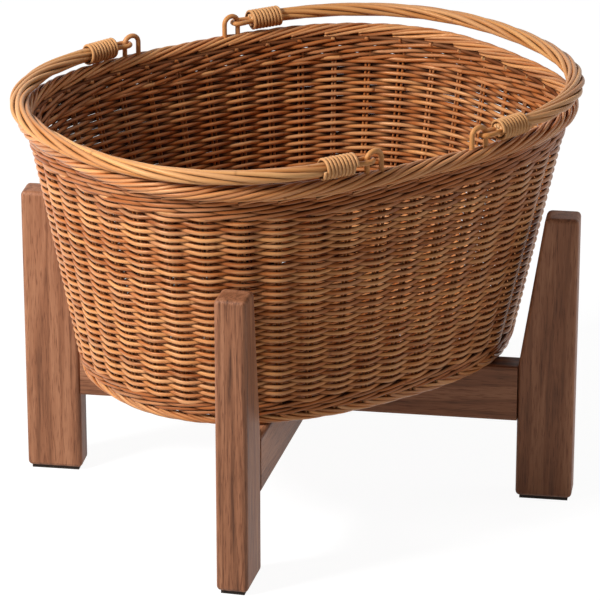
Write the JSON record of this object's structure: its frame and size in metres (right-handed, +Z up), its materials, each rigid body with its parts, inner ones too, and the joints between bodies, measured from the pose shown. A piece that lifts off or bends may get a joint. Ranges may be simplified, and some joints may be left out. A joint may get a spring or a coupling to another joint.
{
  "type": "display basket",
  "caption": "Oval woven cane basket with folding rope-twist cane handles on ring hinges, lifting out of a crossed walnut stand; holds throws, logs, plants or goods on display.",
  "frame": {"origin": "on the floor under the middle of the stand", "axes": "+X along the basket's long axis, towards the right handle; +Y towards its back long side; +Z up"},
  "size_m": [0.5625, 0.447, 0.4286],
  "materials": {
    "walnut": "satin oiled walnut",
    "dowel_beech": "plain beech",
    "foot_felt": "dark felt",
    "woven_cane": "smooth round cane, honey brown",
    "handle_cane": "smooth round cane, honey brown",
    "binding_cane": "split cane, light tan"
  },
  "bodies": {
    "stand": {"leg_front": "walnut", "leg_left": "walnut", "leg_right": "walnut", "leg_back": "walnut", "beam_left_right": "walnut", "beam_front_back": "walnut", "foot_pad_front": "foot_felt", "foot_pad_left": "foot_felt", "foot_pad_right": "foot_felt", "foot_pad_back": "foot_felt", "dowel_front_lower": "dowel_beech", "dowel_front_upper": "dowel_beech", "dowel_left_lower": "dowel_beech", "dowel_left_upper": "dowel_beech", "dowel_right_lower": "dowel_beech", "dowel_right_upper": "dowel_beech", "dowel_back_lower": "dowel_beech", "dowel_back_upper": "dowel_beech"},
    "basket": {"foot_border": "woven_cane", "base_weave": "woven_cane", "lower_waling": "woven_cane", "side_weave": "woven_cane", "upper_waling": "woven_cane", "rim_border": "woven_cane", "handle_ring_back_left": "handle_cane", "handle_ring_back_right": "handle_cane", "handle_ring_front_left": "handle_cane", "handle_ring_front_right": "handle_cane"},
    "handle_left": {"handle_left_canes": "handle_cane", "handle_left_eye_back": "handle_cane", "handle_left_binding_back": "binding_cane", "handle_left_eye_front": "handle_cane", "handle_left_binding_front": "binding_cane"},
    "handle_right": {"handle_right_canes": "handle_cane", "handle_right_eye_back": "handle_cane", "handle_right_binding_back": "binding_cane", "handle_right_eye_front": "handle_cane", "handle_right_binding_front": "binding_cane"}
  },
  "joints": [
    {"name": "basket_lift", "type": "slide", "parent": "stand", "child": "basket", "axis": [0, 0, 1], "range_m": [0, 0.18]},
    {"name": "handle_left_swing", "type": "hinge", "parent": "basket", "child": "handle_left", "pos_m": [-0.0627, 0, 0.4174], "axis": [0, 1, 0], "range_deg": [0, 103]},
    {"name": "handle_right_swing", "type": "hinge", "parent": "basket", "child": "handle_right", "pos_m": [0.0627, 0, 0.4174], "axis": [0, -1, 0], "range_deg": [0, 101]}
  ]
}
